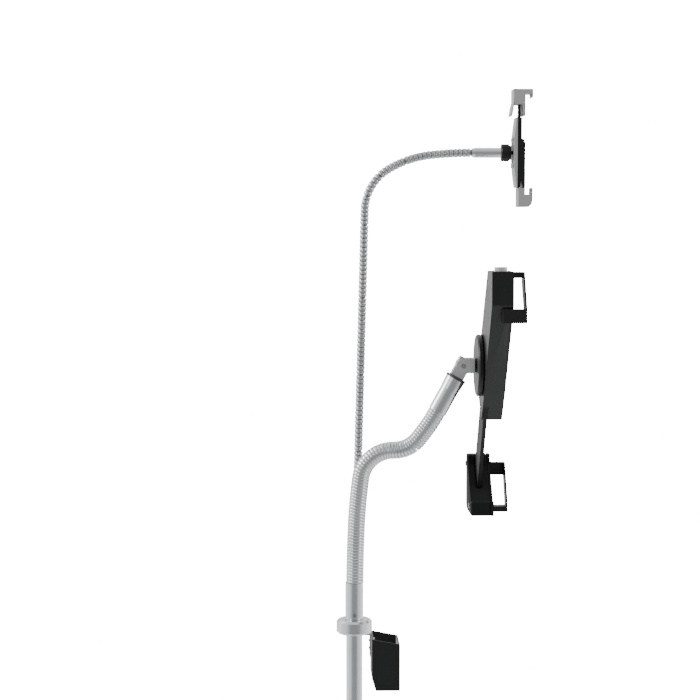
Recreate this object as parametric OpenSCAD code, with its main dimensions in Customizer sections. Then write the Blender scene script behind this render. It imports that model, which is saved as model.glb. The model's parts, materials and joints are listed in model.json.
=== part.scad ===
// Floor stand with two flexible necks: a ribbed one that carries a two-corner tablet holder,
// and a slim one that carries a sprung clamp. +Z is up, +X is the way the holders face, and the
// origin is the middle of the underside of the floor base.

/* [Floor base] */
// Diameter of the floor base
base_d = 340; // [300:5:420]
// Thickness of the steel plate
base_t = 12; // [8:1:20]
// Thickness of the foam sheet under the plate
base_pad_t = 3; // [2:0.5:5]
// Width of the sloped edge around the plate
base_edge = 5; // [2:1:8]
// Diameter of the flange that bolts the pole to the plate
flange_d = 74; // [60:1:100]
// Thickness of that flange
flange_t = 6; // [4:1:10]
// Height of the socket above the flange
socket_h = 40; // [25:1:60]
// Thread diameter of the flange screws
flange_screw_d = 6; // [4:1:8]

/* [Pole] */
// Outer diameter of the lower pole
lower_pole_d = 22; // [21:0.5:28]
// Wall of the lower pole
lower_pole_wall = 1.6; // [1.2:0.1:2]
// Outer diameter of the upper pole
upper_pole_d = 17; // [15:0.5:17.5]
// Wall of the upper pole
upper_pole_wall = 1.5; // [1:0.1:2.5]
// Height of the top of the lower pole above the floor
lower_pole_top = 620; // [560:5:660]
// Length of upper pole inside the lower pole at rest
pole_overlap = 350; // [300:10:380]
// Diameter of the twist lock
lock_d = 34; // [30:1:42]
// Height of the twist lock
lock_h = 46; // [36:1:60]
// Grip grooves around the twist lock
lock_grooves = 12; // [8:1:16]

/* [Accessory collar] */
// Height of the middle of the collar above the floor
collar_z = 950; // [900:5:1000]
// Outer diameter of the collar
collar_d = 37; // [34:0.5:44]
// Height of the collar
collar_h = 14.4; // [12:0.2:18]
// Distance of the slim neck behind the pole
slim_y = 20; // [19.5:0.5:24]
// Width of the pocket across the pole
pocket_w = 44; // [36:1:60]
// Depth of the pocket away from the pole
pocket_depth = 29; // [24:1:38]
// Height of the pocket on its pole side
pocket_h = 54; // [45:1:70]
// Drop of the pocket rim away from the pole
pocket_drop = 5.5; // [0:0.5:8]
// Wall of the pocket
pocket_wall = 2; // [1.5:0.25:3]

/* [Ribbed neck] */
// Diameter over the ribs of the ribbed neck
rib_d = 18.5; // [17:0.5:20]
// Spacing of its ribs
rib_pitch = 3.1; // [2.9:0.05:4]
// Depth of the valleys between its ribs
rib_depth = 1; // [0.6:0.1:1.4]
// Diameter of its bore
rib_bore = 12.4; // [11.5:0.1:12.8]
// Length of the lower sleeve that joins it to the pole
socket_sleeve_h = 38; // [32:1:46]
// Length of the upper sleeve that joins it to the tilt hinge
head_sleeve_l = 40; // [36:1:46]
// Diameter of the flared rim of the upper sleeve
head_rim_d = 21.6; // [20.6:0.2:24]

/* [Slim neck] */
// Diameter over the beads of the slim neck
bead_d = 9.2; // [8.6:0.2:9.6]
// Spacing of its beads
bead_pitch = 4.9; // [4.6:0.1:5.4]
// Depth of the valleys between its beads
bead_depth = 0.9; // [0.5:0.1:1.1]
// Diameter of its bore
bead_bore = 5.8; // [5.4:0.1:6]
// Length of the smooth sleeve at its upper end
slim_sleeve_l = 33; // [28:1:38]
// Diameter of that sleeve
slim_sleeve_d = 10.6; // [10:0.2:11.4]

/* [Tablet holder] */
// Height of the tablet that the holder is set to
tablet_h = 247; // [240:1:260]
// Width of that tablet
tablet_w = 179; // [170:1:190]
// Thickness of that tablet with its case
tablet_t = 8; // [6:0.5:9]
// Diameter of the swivel disc
disc_d = 64; // [56:1:70]
// Thickness of the swivel disc
disc_t = 6; // [5:0.5:8]
// Thickness of the holder housing
housing_t = 21.5; // [19:0.5:24]
// Wall of the holder housing
housing_wall = 2.4; // [2:0.2:3]
// Width of the sliding bar
bar_w = 35; // [28:1:38]
// Thickness of the sliding bar
bar_t = 4; // [3:0.25:5]
// Width of each claw finger
finger_w = 14; // [10:0.5:16]
// Thickness of each claw finger
finger_t = 3.6; // [3:0.2:4.4]
// Width of the tilt hinge block
hinge_w = 15; // [14:0.5:17]
// Diameter of the tilt hinge bolt
hinge_bolt_d = 5; // [4:0.5:6]
// Diameter of the corner lock
corner_lock_d = 13; // [11:0.5:15]

/* [Clamp] */
// Height of the clamp body
clamp_h = 72; // [66:1:80]
// Width of the clamp body
clamp_w = 24; // [20:1:30]
// Diameter of the ball lock nut
ball_nut_d = 18; // [17:0.5:21]
// Diameter of the ball
ball_d = 9; // [8.6:0.2:9.2]
// Height of the fixed lower jaw
lower_jaw_h = 20; // [16:1:26]
// Height of the sliding upper jaw
upper_jaw_h = 28; // [24:1:34]
// Width of the slot that grips a device
grip_slot = 6.6; // [6:0.2:9]
// Width of the flat bar that the upper jaw slides on
slider_w = 8.6; // [7:0.2:9]

/* [Hidden] */
$fn = 48;
// Radial clearance of turning and sliding fits
fit = 0.06;
// Clearance between pieces that pass each other
pass = 0.35;
// Overlap that makes a cut go clean through
over = 1;
// Gap between the links of the ribbed neck and of the slim neck, at their hinges
rib_gap = 2.6;
bead_gap = 2.2;
// Sides of a swept neck ring
ring_sides = 8;

plate_top = base_pad_t + base_t;
socket_top = plate_top + flange_t + socket_h;
upper_pole_low = lower_pole_top - pole_overlap;
lock_low = lower_pole_top - lock_h * 0.75;
lock_top = lock_low + lock_h;
socket_wall = 4;
flange_screw_ring = (flange_d + lower_pole_d + 2 * socket_wall) / 4;
flange_screw_head_d = flange_screw_d * 1.7;
flange_screw_len = flange_t + base_t - 3;
collar_low = collar_z - collar_h / 2;
collar_top = collar_z + collar_h / 2;
collar_edge = 2;
sleeve_low = collar_top + pass;
sleeve_top = sleeve_low + socket_sleeve_h;
sleeve_d = upper_pole_d + 1.8;
sleeve_plug = 14;
upper_pole_top = sleeve_top - sleeve_plug;

// Necks: [distance along the neck, heading from upright towards +X] where the bending changes
rib_course = [[0, 0.5], [60, 2.5], [109, 8], [156, 88], [160, 88], [186, 40], [222, 29]];
bead_course = [[0, 1.5], [415, 1.5], [467, 60], [513, 84], [556, 90]];
// Distances along each neck of its hinges
rib_hinges = [2, 50, 88, 110, 128, 146, 168, 190, 220];
bead_hinges = [2, 85, 165, 245, 325, 400, 430, 455, 485, 554];
rib_start = [0.6, 0, sleeve_top];
ferrule_h = 8.2;
bead_start = [0.5, slim_y, collar_top + ferrule_h];
rib_len = rib_course[len(rib_course) - 1][0];
bead_len = bead_course[len(bead_course) - 1][0];

// Heading of a course at a distance along it
function heading(course, s) = lookup(s, course);
// Steps of about 1 mm add up to the place on a course at a distance along it
function place(course, start, s) =
    let(n = max(1, ceil(s)), ds = s / n)
    let(h = [for (i = [0:n - 1]) heading(course, (i + 0.5) * ds)])
    start + ds * [sum([for (a = h) sin(a)]), 0, sum([for (a = h) cos(a)])];
function sum(list) = [for (x = list) 1] * list;
function across(h) = [cos(h), 0, -sin(h)];
function ring(p, h, r) =
    [for (k = [0:ring_sides - 1]) let(a = 360 * (k + 0.5) / ring_sides)
        p + r * (cos(a) * across(h) + [0, sin(a), 0])];

// A length of ribbed tube from s0 to s1 along a course, with a blind bore from its lower end
module ribbed(course, start, s0, s1, pitch, d, depth, bore, plug) {
    ribs = max(2, round((s1 - s0) / pitch));
    outer_n = 2 * ribs + 1;
    step = (s1 - s0) / (2 * ribs);
    bore_top = s1 - plug;
    inner_n = max(2, ceil((bore_top - s0) / (2 * pitch)));
    inner_step = (bore_top - s0) / (inner_n - 1);
    outer = [for (i = [0:outer_n - 1]) let(s = s0 + i * step, r = d / 2 - (i % 2 == 0 ? depth : 0))
        each ring(place(course, start, s), heading(course, s), r)];
    inner = [for (i = [0:inner_n - 1]) let(s = s0 + i * inner_step)
        each ring(place(course, start, s), heading(course, s), bore / 2)];
    ends = [place(course, start, s1), place(course, start, bore_top)];
    n = ring_sides;
    first_in = outer_n * n;
    top_mid = first_in + inner_n * n;
    faces = concat(
        [for (i = [0:outer_n - 2], k = [0:n - 1]) let(a = i * n + k, b = i * n + (k + 1) % n)
            each [[a, a + n, b], [b, a + n, b + n]]],
        [for (i = [0:inner_n - 2], k = [0:n - 1])
            let(a = first_in + i * n + k, b = first_in + i * n + (k + 1) % n)
            each [[a, b, a + n], [b, b + n, a + n]]],
        [for (k = [0:n - 1]) let(a = k, b = (k + 1) % n, c = first_in + k, e = first_in + (k + 1) % n)
            each [[a, b, c], [b, e, c]]],
        [for (k = [0:n - 1]) let(a = (outer_n - 1) * n)
            [a + k, top_mid, a + (k + 1) % n]],
        [for (k = [0:n - 1]) let(a = first_in + (inner_n - 1) * n)
            [a + k, a + (k + 1) % n, top_mid + 1]]);
    polyhedron(points = concat(outer, inner, ends), faces = faces);
}

// Radius of the ball that fits the bore of the next link
function ball_r(bore) = bore / 2 * cos(180 / ring_sides) - pass;

rib_plug = ball_r(rib_bore) + 1.5;
bead_plug = ball_r(bead_bore) + 1.5;

// One link of the ribbed neck between two hinges, with its ball at the upper hinge
module rib_link(i) {
    color("silver") {
        ribbed(rib_course, rib_start, rib_hinges[i] + rib_gap / 2, rib_hinges[i + 1] - rib_gap / 2,
            rib_pitch, rib_d, rib_depth, rib_bore, rib_plug);
        translate(place(rib_course, rib_start, rib_hinges[i + 1])) sphere(r = ball_r(rib_bore));
    }
}

module bead_link(i) {
    color("silver") {
        ribbed(bead_course, bead_start, bead_hinges[i] + bead_gap / 2, bead_hinges[i + 1] - bead_gap / 2,
            bead_pitch, bead_d, bead_depth, bead_bore, bead_plug);
        translate(place(bead_course, bead_start, bead_hinges[i + 1])) sphere(r = ball_r(bead_bore));
    }
}

rib_links = len(rib_hinges) - 1;
bead_links = len(bead_hinges) - 1;

// A ring of outer and inner diameter, from z0 to z1
module pipe(d, bore, z0, z1) {
    translate([0, 0, z0]) difference() {
        cylinder(d = d, h = z1 - z0);
        translate([0, 0, -over]) cylinder(d = bore, h = z1 - z0 + 2 * over);
    }
}

// A disc with sloped edges above and below
module edged(d, h, edge) {
    rotate_extrude() polygon([[0, 0], [d / 2 - edge, 0], [d / 2, edge], [d / 2, h - edge],
        [d / 2 - edge, h], [0, h]]);
}

// A plate of a (y, z) outline between two x places
module plate(points, x0, x1) {
    translate([x0, 0, 0]) rotate([90, 0, 90]) linear_extrude(x1 - x0) polygon(points);
}

// A bar along X of a round section
module rod_x(d, x0, x1, y = 0, z = 0) {
    translate([x0, y, z]) rotate([0, 90, 0]) cylinder(d = d, h = x1 - x0);
}

// Floor base and poles
module base_pad() {
    color("dimgray") cylinder(d = base_d - 4 * base_edge, h = base_pad_t);
}

module base_plate() {
    color("#202124") difference() {
        translate([0, 0, base_pad_t]) rotate_extrude() polygon([[0, 0], [base_d / 2, 0],
            [base_d / 2, base_t / 2], [base_d / 2 - base_edge, base_t], [0, base_t]]);
        flange_screw_places() translate([0, 0, plate_top + flange_t - flange_screw_len])
            cylinder(d = flange_screw_d + 2 * fit, h = flange_screw_len);
    }
}

module flange_screw_places() {
    for (k = [0:3]) rotate(45 + 90 * k) translate([flange_screw_ring, 0, 0]) children();
}

module pole_socket() {
    color("#202124") difference() {
        union() {
            translate([0, 0, plate_top]) cylinder(d = flange_d, h = flange_t);
            translate([0, 0, plate_top]) cylinder(d = lower_pole_d + 2 * socket_wall,
                h = flange_t + socket_h);
        }
        translate([0, 0, plate_top + flange_t])
            cylinder(d = lower_pole_d + 2 * fit, h = socket_h + over);
        flange_screw_places() translate([0, 0, plate_top - over])
            cylinder(d = flange_screw_d + 2 * fit, h = flange_t + 2 * over);
    }
}

module base_screws() {
    head_h = flange_screw_d * 0.55;
    color("silver") flange_screw_places() translate([0, 0, plate_top + flange_t]) difference() {
        union() {
            cylinder(d = flange_screw_head_d, h = head_h);
            translate([0, 0, -flange_screw_len]) cylinder(d = flange_screw_d, h = flange_screw_len + head_h);
        }
        translate([0, 0, head_h / 3]) cylinder(d = flange_screw_d * 0.75, h = head_h, $fn = 6);
    }
}

module lower_pole() {
    color("silver") pipe(lower_pole_d, lower_pole_d - 2 * lower_pole_wall, plate_top + flange_t,
        lower_pole_top);
}

collet_flange = 2.5;
collet_len = 26;
collet_d = lower_pole_d - 2 * lower_pole_wall - 2 * fit;
module height_collet() {
    color("#303236") difference() {
        union() {
            translate([0, 0, lower_pole_top - collet_len]) cylinder(d = collet_d, h = collet_len);
            translate([0, 0, lower_pole_top]) cylinder(d = lower_pole_d, h = collet_flange);
        }
        translate([0, 0, lower_pole_top - collet_len - over])
            cylinder(d = upper_pole_d + 2 * fit, h = collet_len + collet_flange + 2 * over);
    }
}

module height_lock() {
    color("#202124") difference() {
        translate([0, 0, lock_low]) edged(lock_d, lock_h, 1.5);
        translate([0, 0, lock_low - over])
            cylinder(d = lower_pole_d + 2 * fit, h = lower_pole_top + collet_flange + pass - lock_low + over);
        translate([0, 0, lock_low]) cylinder(d = upper_pole_d + 2 * pass, h = lock_h + over);
        for (k = [0:lock_grooves - 1]) rotate(360 * k / lock_grooves)
            translate([lock_d / 2 + 1, 0, lock_low + 6])
            cylinder(d = 5, h = lock_h - 12);
    }
}

module upper_pole() {
    color("silver") pipe(upper_pole_d, upper_pole_d - 2 * upper_pole_wall, upper_pole_low, upper_pole_top);
}

bush_len = 30;
module pole_bush() {
    bush_d = lower_pole_d - 2 * lower_pole_wall - 2 * fit;
    spigot_d = upper_pole_d - 2 * upper_pole_wall - 2 * fit;
    color("#e8e6df") translate([0, 0, upper_pole_low]) difference() {
        union() {
            translate([0, 0, -bush_len / 2]) cylinder(d = bush_d, h = bush_len / 2);
            cylinder(d = spigot_d, h = bush_len / 2);
        }
        translate([0, 0, -bush_len / 2 - over]) cylinder(d = spigot_d - 4, h = bush_len + 2 * over);
    }
}

// Sleeve at the top of the pole, with the ball that the ribbed neck turns on
set_screw_d = 4;
set_screw_z = sleeve_low + 5;
module neck_socket() {
    color("silver") difference() {
        union() {
            translate([0, 0, sleeve_low]) cylinder(d = sleeve_d, h = socket_sleeve_h);
            translate(place(rib_course, rib_start, rib_hinges[0])) sphere(r = ball_r(rib_bore));
        }
        translate([0, 0, sleeve_low - over])
            cylinder(d = upper_pole_d + 2 * fit, h = upper_pole_top - sleeve_low + over);
        translate([0, 0, set_screw_z]) rotate([90, 0, 0]) cylinder(d = set_screw_d + 2 * fit, h = sleeve_d);
    }
}

module neck_set_screw() {
    screw_len = sleeve_d / 2 - upper_pole_d / 2 + 0.6;
    color("dimgray") translate([0, -upper_pole_d / 2 - fit, set_screw_z]) rotate([90, 0, 0]) difference() {
        cylinder(d = set_screw_d, h = screw_len);
        translate([0, 0, screw_len / 2]) cylinder(d = set_screw_d / 2, h = screw_len, $fn = 6);
    }
}

// Collar with the pocket and the slim neck
ferrule_d = 11;
lug_d = ferrule_d + 5;
ferrule_socket = 9;
collar_screw_d = 4;
bracket_t = 1.6;
pocket_under = 1;
pocket_x = collar_d / 2 - pocket_under;
pocket_rim = collar_low - bracket_t - 0.8;
pocket_slope_x = 4;
pocket_slope_z = 12.5;
module accessory_collar() {
    color("silver") difference() {
        union() {
            translate([0, 0, collar_low]) edged(collar_d, collar_h, collar_edge);
            translate([0, slim_y, collar_low]) edged(lug_d, collar_h, collar_edge);
        }
        translate([0, 0, collar_low - over]) cylinder(d = upper_pole_d + 2 * fit, h = collar_h + 2 * over);
        translate([0, slim_y, collar_top - ferrule_socket])
            cylinder(d = ferrule_d + 2 * fit, h = ferrule_socket + over);
        translate([0, 0, collar_z]) rotate([0, -90, 0]) cylinder(d = collar_screw_d + 2 * fit, h = collar_d);
    }
}

module collar_screw() {
    screw_len = (collar_d - upper_pole_d) / 2 - 2 * pass;
    color("dimgray") translate([-upper_pole_d / 2 - pass, 0, collar_z]) rotate([0, -90, 0]) difference() {
        cylinder(d = collar_screw_d, h = screw_len);
        translate([0, 0, screw_len - 2]) cylinder(d = collar_screw_d / 2, h = 3, $fn = 6);
    }
}

module slim_ferrule() {
    color("silver") union() {
        translate([0, slim_y, collar_top - ferrule_socket])
            cylinder(d = ferrule_d, h = ferrule_socket + ferrule_h);
        translate(place(bead_course, bead_start, bead_hinges[0])) sphere(r = ball_r(bead_bore));
    }
}

bracket_w = 14;
module pocket_bracket() {
    x_end = pocket_x - bracket_t;
    color("darkgray") difference() {
        union() {
            translate([upper_pole_d / 2 + 2, -bracket_w / 2, collar_low - bracket_t])
                cube([pocket_x - upper_pole_d / 2 - 2, bracket_w, bracket_t]);
            translate([x_end, -bracket_w / 2, collar_low - 24]) cube([bracket_t, bracket_w, 24]);
        }
        pocket_screw_places() rod_x(pocket_screw_d + 2 * fit, x_end - over, pocket_x + over);
    }
}

pocket_screw_d = 3;
module pocket_screw_places() {
    for (z = [-16, -8]) translate([0, 0, collar_low + z]) children();
}

module pocket() {
    low = pocket_rim - pocket_h;
    floor_z = low + pocket_wall + 1.5;
    rim_far = pocket_rim - pocket_drop;
    outer_x = pocket_x + pocket_depth;
    inner_x = pocket_x + pocket_wall;
    inner_w = pocket_w - 2 * pocket_wall;
    color("#1b1c1e") difference() {
        translate([0, pocket_w / 2, 0]) rotate([90, 0, 0]) linear_extrude(pocket_w) polygon([
            [pocket_x, low + pocket_slope_z], [pocket_x + pocket_slope_x, low], [outer_x, low],
            [outer_x, rim_far], [pocket_x, pocket_rim]]);
        translate([0, inner_w / 2, 0]) rotate([90, 0, 0]) linear_extrude(inner_w) polygon([
            [inner_x, pocket_rim + over], [inner_x, low + pocket_slope_z + 0.5],
            [inner_x + pocket_slope_x * 0.75, floor_z], [outer_x - pocket_wall, floor_z],
            [outer_x - pocket_wall, pocket_rim + over]]);
        pocket_screw_places() rod_x(pocket_screw_d + 2 * fit, pocket_x - over, pocket_x + pocket_wall + over);
    }
}

module pocket_screws() {
    head = 1.6;
    color("dimgray") pocket_screw_places() {
        rod_x(pocket_screw_d, pocket_x - bracket_t - 1, pocket_x + pocket_wall + head);
        rod_x(pocket_screw_d * 1.8, pocket_x + pocket_wall, pocket_x + pocket_wall + head);
    }
}

// Upper sleeve of the ribbed neck and the tilt hinge
head_dir = heading(rib_course, rib_len);
head_start = place(rib_course, rib_start, rib_len);
hinge_drop = 13.5;
pivot = place(rib_course, rib_start, rib_len) + (head_sleeve_l + hinge_drop) * [sin(head_dir), 0,
    cos(head_dir)];
module along_head() {
    translate(head_start) rotate([0, head_dir, 0]) children();
}

module head_sleeve() {
    skirt = rib_gap / 2 - (rib_len - rib_hinges[rib_links]);
    floor_z = ball_r(rib_bore) + 2;
    color("silver") along_head() difference() {
        rotate_extrude() polygon([[0, skirt], [rib_d / 2 + 0.4, skirt],
            [rib_d / 2 + 0.4, head_sleeve_l * 0.62],
            [head_rim_d / 2 - 0.3, head_sleeve_l - 2.4], [head_rim_d / 2, head_sleeve_l - 1.2],
            [head_rim_d / 2, head_sleeve_l], [0, head_sleeve_l]]);
        translate([0, 0, skirt - over]) cylinder(r = ball_r(rib_bore) + pass, h = floor_z + over);
    }
}

tongue_t = 12;
fork_gap = tongue_t + 2 * pass;
cheek_t = 3.6;
fork_w = fork_gap + 2 * cheek_t;
tongue_end = hinge_w * 0.52;
// Block on the sleeve: square at its upper rear corner, round where the fork's web turns past it
module tilt_tongue() {
    half = hinge_w / 2 - 0.2;
    color("silver") along_head() translate([0, 0, head_sleeve_l]) difference() {
        union() {
            translate([-half, -tongue_t / 2, 0]) cube([2 * half, tongue_t, hinge_drop]);
            translate([-half, -tongue_t / 2, 0]) cube([half, tongue_t, hinge_drop + tongue_end]);
            translate([0, tongue_t / 2, hinge_drop]) rotate([90, 0, 0]) cylinder(r = half, h = tongue_t);
        }
        translate([0, hinge_w, hinge_drop]) rotate([90, 0, 0])
            cylinder(d = hinge_bolt_d + 2 * fit, h = 2 * hinge_w);
    }
}

// Plain pin through the hinge, ends just under the fork's faces
module tilt_bolt() {
    pin_l = fork_w - 0.4;
    color("gray") translate(pivot + [0, pin_l / 2, 0]) rotate([90, 0, 0])
        cylinder(d = hinge_bolt_d, h = pin_l);
}

// Fork of the tilt hinge: two round-ended cheeks and a web that carries the disc's spindle
disc_x = pivot[0] + 13.5;
hub_l = 2;
web_end = disc_x - hub_l;
hub_d = 14;
spindle_d = 8;
web_x = pivot[0] + hinge_w / 2 + 1.7;
module tilt_fork() {
    color("silver") difference() {
        union() {
            for (y = [-fork_w / 2, fork_gap / 2]) {
                translate([pivot[0], y + cheek_t, pivot[2]]) rotate([90, 0, 0])
                    cylinder(d = hinge_w, h = cheek_t);
                translate([pivot[0], y, pivot[2] - hinge_w / 2]) cube([web_end - pivot[0], cheek_t, hinge_w]);
            }
            translate([web_x, -fork_w / 2, pivot[2] - hinge_w / 2]) cube([web_end - web_x, fork_w, hinge_w]);
            rod_x(spindle_d, web_end - 1, disc_x + disc_t - 1, 0, pivot[2]);
        }
        translate(pivot + [0, fork_w, 0]) rotate([90, 0, 0])
            cylinder(d = hinge_bolt_d + 2 * fit, h = 2 * fork_w);
    }
}

module swivel_hub() {
    color("#141414") translate([web_end + fit, 0, pivot[2]]) rotate([0, 90, 0]) difference() {
        cylinder(d = hub_d, h = hub_l - 2 * fit);
        translate([0, 0, -over]) cylinder(d = spindle_d + 2 * fit, h = hub_l + 2 * over);
    }
}

module swivel_disc() {
    color("#1b1c1e") translate([disc_x, 0, pivot[2]]) rotate([0, 90, 0]) difference() {
        edged(disc_d, disc_t, 1.4);
        translate([0, 0, -over]) cylinder(d = spindle_d + 2 * fit, h = disc_t - 1 + fit + over);
    }
}

// Two-corner holder. Its own frame has its middle behind the tablet and z along the diagonal that
// runs from the far lower corner to the near upper one; t is the offset from that diagonal.
diagonal = atan(tablet_w / tablet_h);
housing_x = disc_x + disc_t;
front_x = housing_x + housing_t;
tablet_x = front_x + 1.5;
lip_x = tablet_x + tablet_t;
tablet_z = pivot[2] - 32;
corner_y = tablet_w / 2;
corner_z = tablet_h / 2;
corner_over = 5;
corner_over_z = 7.5;
bar_x = housing_x + 1.8;
bar_offset = 3;
module at_tablet() {
    translate([0, 0, tablet_z]) children();
}

module at_diagonal() {
    at_tablet() rotate([diagonal, 0, 0]) children();
}

// A point of the tablet's own plane, near and up from its middle, as a (y, z) point of the diagonal frame
function turned(near, up) = [
    -near * cos(diagonal) + up * sin(diagonal),
    near * sin(diagonal) + up * cos(diagonal)];

housing_top_w = 44;
housing_side_h = 33;
housing_low = -21;
// Lower outline of the housing, measured from the diagonal and along it
waist_y = 17;
waist_z = 20;
foot_near_y = 13;
foot_far_y = 28;
far_low_y = 42;
far_low_z = 10;
far_top_y = 46;
far_top_z = 30;
near_edge = corner_y + corner_over;
top_edge = corner_z + corner_over_z;
housing_outline = [
    turned(near_edge - housing_top_w, top_edge), turned(near_edge, top_edge),
    turned(near_edge, top_edge - housing_side_h), [-waist_y, waist_z], [-foot_near_y, housing_low],
    [foot_far_y, housing_low], [far_low_y, -far_low_z], [far_top_y, far_top_z]];
cavity_outline = [
    turned(near_edge - housing_top_w + 3, top_edge - housing_wall - 2), turned(near_edge - 4, top_edge - 4),
    turned(near_edge - housing_wall, top_edge - housing_side_h + 3), [-waist_y + 3.5, waist_z],
    [-foot_near_y + 2.8, housing_low + housing_wall], [foot_far_y - 2, housing_low + housing_wall],
    [far_low_y - 3, -far_low_z + 2], [far_top_y - 3, far_top_z - 1]];
lock_y = -(near_edge - housing_top_w / 2);
lock_z = top_edge;
lock_x = housing_x + housing_t * 0.5;
holder_screw_d = 3;
screw_near = 8;
screw_far = 36;
screw_down = 14;
screw_down_far = 12;
screw_past = 10;
screw_up = 3;
holder_screw_at = [turned(near_edge - screw_near, top_edge - screw_down),
    turned(near_edge - screw_far, top_edge - screw_down_far),
    [far_top_y - screw_near, far_top_z + screw_past], [foot_far_y + 1, housing_low + screw_up]];

// Openings of the housing for the bar, with the bar's own clearance
module bar_way(low, high) {
    translate([bar_x - pass, bar_offset - bar_w / 2 - pass, low])
        cube([bar_t + 2 * pass, bar_w + 2 * pass, high - low]);
}

module housing_back() {
    front_plate_x = front_x - 3;
    color("#1b1c1e") difference() {
        union() {
            at_diagonal() difference() {
                plate(housing_outline, housing_x, front_plate_x);
                plate(cavity_outline, bar_x + bar_t + pass + 1.5, front_plate_x + over);
                bar_way(housing_low - over, bar_top + bar_travel + 8);
            }
            at_diagonal() for (p = holder_screw_at)
                rod_x(holder_screw_d + 5, bar_x + bar_t + pass + 1, front_plate_x, p[0], p[1]);
        }
        at_diagonal() for (p = holder_screw_at)
            rod_x(holder_screw_d + 2 * fit, housing_x - over, front_plate_x + over, p[0], p[1]);
        at_diagonal() for (p = holder_screw_at)
            rod_x(holder_screw_d * 2, housing_x - over, housing_x + 1.6, p[0], p[1]);
        at_tablet() translate([lock_x, lock_y, lock_z - 14])
            cylinder(d = corner_lock_d - 3 + 2 * fit, h = 14 + over);
    }
}

module housing_front() {
    color("#26272a") at_diagonal() difference() {
        plate(housing_outline, front_x - 3, front_x);
        for (p = holder_screw_at) rod_x(holder_screw_d + 2 * fit, front_x - 3 - over, front_x - 1, p[0],
            p[1]);
    }
}

// Soft pad, set in from the housing's outline
pad_inset = 16;
pad_cut = 38;
pad_side = 9;
pad_foot_side = 7;
pad_foot_up = 13;
pad_far_in = 10;
pad_low = housing_low + pad_foot_up;
module holder_pad() {
    pad = [turned(near_edge - pad_cut, top_edge - pad_inset),
        turned(near_edge - pad_inset, top_edge - pad_inset),
        turned(near_edge - pad_inset, top_edge - pad_cut), [-waist_y + pad_side, waist_z],
        [-foot_near_y + pad_foot_side, pad_low], [foot_far_y + 2, pad_low],
            [far_top_y - pad_far_in, far_top_z]];
    color("#3a3b3d") at_diagonal() plate(pad, front_x, front_x + 1.2);
}

module holder_screws() {
    color("dimgray") at_diagonal() for (p = holder_screw_at) {
        rod_x(holder_screw_d, housing_x + 0.3, front_x - 1.2, p[0], p[1]);
        rod_x(holder_screw_d * 1.8, housing_x + 0.2, housing_x + 1.6, p[0], p[1]);
    }
}

// Lock barrel in the top face, with its cam inside
module corner_lock() {
    color("silver") at_tablet() translate([lock_x, lock_y, lock_z]) difference() {
        union() {
            translate([0, 0, fit]) cylinder(d = corner_lock_d, h = 4);
            translate([0, 0, -13]) cylinder(d = corner_lock_d - 3, h = 14);
        }
        translate([-3, -0.6, 2.5]) cube([6, 1.2, 4]);
    }
}

// Claw for one corner: two fingers round the edges and a strap across the front of the corner
strap_t = 1.8;
finger_top_t = finger_t + 2.4;
finger_top_at = 24;
finger_side_at = 36;
module corner_claw(x_root_top, x_root_side) {
    top_y = -(corner_y - finger_top_at);
    side_z = corner_z - finger_side_at;
    front = lip_x + 2;
    translate([x_root_top, top_y - finger_w / 2, corner_z + 0.5])
        cube([front + strap_t - x_root_top, finger_w, finger_top_t]);
    translate([x_root_side, -corner_y - 0.5 - finger_t, side_z - finger_w / 2])
        cube([front + strap_t - x_root_side, finger_t, finger_w]);
    plate([[top_y + finger_w / 2, corner_z + 0.5 + finger_top_t],
        [top_y - finger_w / 2, corner_z + 0.5 + finger_top_t],
        [-corner_y - 0.5 - finger_t, side_z + finger_w / 2],
            [-corner_y - 0.5 - finger_t, side_z - finger_w / 2],
        [-corner_y + 5, side_z - finger_w / 2], [top_y + finger_w / 2, corner_z - 5]], front,
            front + strap_t);
}

module top_claw() {
    side_root = housing_x + housing_t * 0.5;
    color("#141414") at_tablet() union() {
        corner_claw(front_x, side_root);
        translate([side_root, -near_edge + 0.5, corner_z - finger_side_at - finger_w / 2])
            cube([front_x - side_root, near_edge - corner_y + 12, finger_w]);
    }
}

// Sliding bar and the bracket at the opposite corner
bracket_x = housing_x - 6.8;
bracket_front = front_x - 4;
bracket_plate = 3;
bar_travel = 40;
bar_top = 70;
bar_low = -128;
module slide_bar() {
    color("#2a2b2e") at_diagonal() translate([bar_x, bar_offset - bar_w / 2, bar_low])
        cube([bar_t, bar_w, bar_top - bar_low]);
}

bracket_side = 60;
bracket_foot = 58;
bracket_arm = 15;
bracket_lip = 16;
bracket_bend = 50;
// Corner piece with one arm along the lower edge and one up the far edge
module bracket_shape(x0, x1) {
    far = corner_y + corner_over;
    low = -(corner_z + corner_over_z);
    at_tablet() plate([[far - bracket_foot, low], [far - 6, low], [far, low + 6], [far, low + bracket_side],
        [far - bracket_lip, low + bracket_side], [far - bracket_lip, low + bracket_bend],
        [far - bracket_bend, low + bracket_arm], [far - bracket_foot, low + bracket_arm]], x0, x1);
}

module bottom_bracket() {
    color("#1b1c1e") difference() {
        bracket_shape(bracket_x, bracket_front - bracket_plate);
        at_diagonal() translate([bar_x - fit, bar_offset - bar_w / 2 - fit, bar_low - fit])
            cube([bar_t + 2 * fit, bar_w + 2 * fit, bar_top - bar_low]);
        at_tablet() for (p = bracket_screw_at)
            rod_x(holder_screw_d + 2 * fit, bracket_x - over, bracket_front, p[0], p[1]);
    }
}

bracket_screw_in = 2;
bracket_screw_up = 42;
bracket_screw_along = 40;
bracket_screw_at = [[corner_y - bracket_screw_in, -corner_z + bracket_screw_up],
    [corner_y - bracket_screw_along, -corner_z + bracket_screw_in]];
module bracket_screws() {
    color("dimgray") at_tablet() for (p = bracket_screw_at) {
        rod_x(holder_screw_d, bracket_x, bracket_front - 1.2, p[0], p[1]);
        rod_x(holder_screw_d * 1.8, bracket_x - 1.4, bracket_x, p[0], p[1]);
    }
}

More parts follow.
